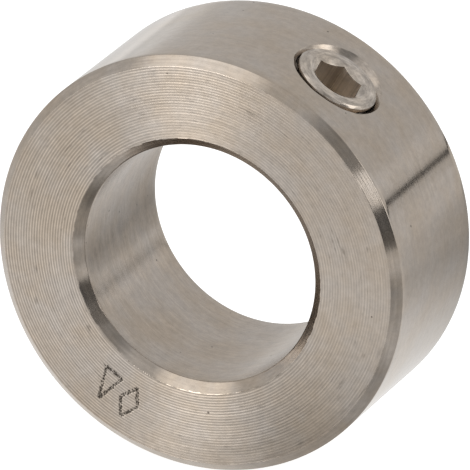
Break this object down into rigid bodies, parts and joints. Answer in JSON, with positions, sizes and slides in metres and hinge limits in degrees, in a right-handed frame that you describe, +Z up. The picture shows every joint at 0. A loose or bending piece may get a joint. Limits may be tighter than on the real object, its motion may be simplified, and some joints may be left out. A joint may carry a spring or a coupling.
{
  "type": "shaft collar",
  "caption": "Round stainless steel shaft collar: a chamfered ring with a plain bore and a headless hex-socket set screw in a radial threaded hole.",
  "frame": {"origin": "middle of the bore, on its axis and half way along the ring's width", "axes": "+Y along the bore, away from the marked face, which looks along -Y; +Z up with the collar standing on its rim; the set screw lies in the XZ plane, 60 degrees from +X towards +Z"},
  "size_m": [0.028, 0.012, 0.028],
  "materials": {
    "turned_stainless": "stainless steel as turned: fine concentric grooves on the faces, smoother and brighter outside diameter",
    "screw_stainless": "stainless steel as rolled and headed, slightly worn round the socket"
  },
  "bodies": {
    "collar": {"collar_ring": "turned_stainless"},
    "screw": {"set_screw": "screw_stainless"}
  },
  "joints": [
    {"name": "screw_advance", "type": "slide", "parent": "collar", "child": "screw", "axis": [0.5, 0, 0.866], "range_m": [-0.001, 0.003]}
  ]
}
